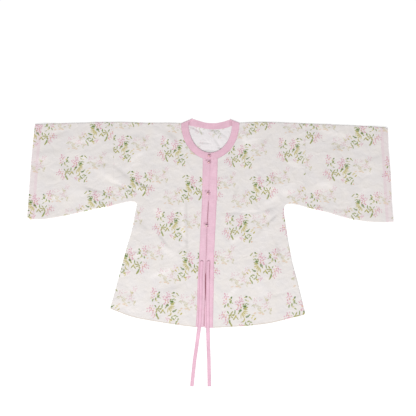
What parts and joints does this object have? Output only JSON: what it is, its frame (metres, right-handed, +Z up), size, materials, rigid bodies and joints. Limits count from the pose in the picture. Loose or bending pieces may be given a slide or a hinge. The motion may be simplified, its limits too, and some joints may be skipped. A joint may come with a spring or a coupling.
{
  "type": "hanfu top",
  "caption": "Round-neck, front-opening hanfu top with wide sleeves, banded front, small buttons and two ties, laid flat front up.",
  "frame": {"origin": "on the surface that the garment lies on, under the middle of its box, ties counted", "axes": "+X to the wearer's left across the spread sleeves, +Y from the hem to the neck, +Z up out of the surface"},
  "size_m": [1.2081, 0.8841, 0.008],
  "materials": {
    "printed_cloth": "thin off-white cotton and linen, printed with small flower sprays, slightly creased",
    "pink_band": "pink slub weave with a faint sheen",
    "pink_facing": "pink slub weave",
    "pink_tie": "pink slub weave, pressed flat",
    "pearl_button": "pearl-like plastic",
    "loop_thread": "pink corded thread"
  },
  "bodies": {
    "root": {"body_right": "printed_cloth", "body_left": "printed_cloth", "sleeve_right": "printed_cloth", "sleeve_left": "printed_cloth", "cuff_facing_right": "pink_facing", "cuff_facing_left": "pink_facing", "collar": "pink_band", "front_band_right": "pink_band", "front_band_left": "pink_band", "tie_right": "pink_tie", "tie_left": "pink_tie", "button_1": "pearl_button", "button_2": "pearl_button", "button_3": "pearl_button", "button_4": "pearl_button", "loop_1": "loop_thread", "loop_2": "loop_thread", "loop_3": "loop_thread", "loop_4": "loop_thread"}
  },
  "joints": []
}
